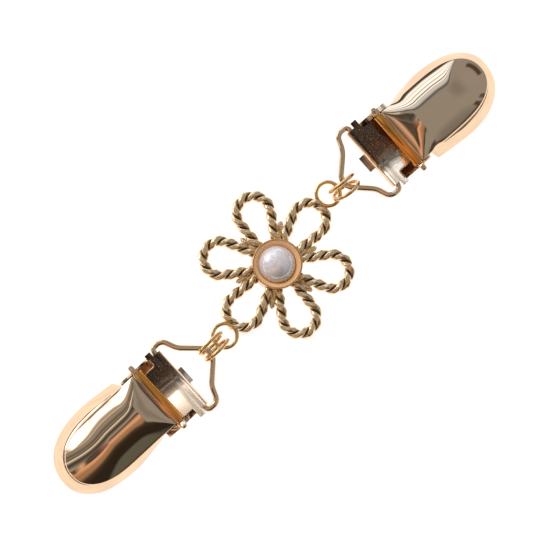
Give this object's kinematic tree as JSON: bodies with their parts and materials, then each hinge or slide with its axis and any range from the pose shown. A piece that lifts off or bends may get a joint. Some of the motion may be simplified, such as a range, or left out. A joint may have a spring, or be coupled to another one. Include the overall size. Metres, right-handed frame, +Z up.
{
  "type": "sweater clip",
  "caption": "Gold-toned sweater clip: a rope-petalled flower with a half-pearl centre, linked by jump rings and wire bails to a domed lever clip on each side.",
  "frame": {"origin": "centre of the flower's back, on the surface that the clip lies on", "axes": "+Z up through the pearl, +X along the whole clip towards clip a, +Y across it"},
  "size_m": [0.1271, 0.0324, 0.0072],
  "materials": {
    "gold_cast": "polished pale gold plating on a casting",
    "gold_wire": "polished pale gold plating on wire",
    "gold_plate": "polished pale gold plating on sheet metal",
    "gold_cover": "mirror-polished pale gold plating",
    "pearl": "nacre-coated, glossy"
  },
  "bodies": {
    "ornament": {"flower_frame": "gold_cast", "pearl": "pearl", "ring_a1": "gold_wire", "ring_a2": "gold_wire", "ring_b1": "gold_wire", "ring_b2": "gold_wire", "bail_a": "gold_wire", "bail_b": "gold_wire"},
    "clip_a": {"base_a": "gold_plate", "jaw_a": "gold_plate", "pin_a": "gold_plate"},
    "lever_a": {"cover_a": "gold_cover"},
    "clip_b": {"base_b": "gold_plate", "jaw_b": "gold_plate", "pin_b": "gold_plate"},
    "lever_b": {"cover_b": "gold_cover"}
  },
  "joints": [
    {"name": "swivel_a", "type": "hinge", "parent": "ornament", "child": "clip_a", "pos_m": [0.03088, 0.00349, 0.00175], "axis": [0, -1, 0], "range_deg": [-90, 70]},
    {"name": "lever_a", "type": "hinge", "parent": "clip_a", "child": "lever_a", "pos_m": [0.03698, 0.00349, 0.0044], "axis": [0, -1, 0], "range_deg": [0, 85]},
    {"name": "swivel_b", "type": "hinge", "parent": "ornament", "child": "clip_b", "pos_m": [-0.03159, -0.00477, 0.00175], "axis": [-0.0262, 0.9997, 0], "range_deg": [-90, 70]},
    {"name": "lever_b", "type": "hinge", "parent": "clip_b", "child": "lever_b", "pos_m": [-0.03769, -0.00493, 0.0044], "axis": [-0.0262, 0.9997, 0], "range_deg": [0, 85]}
  ]
}
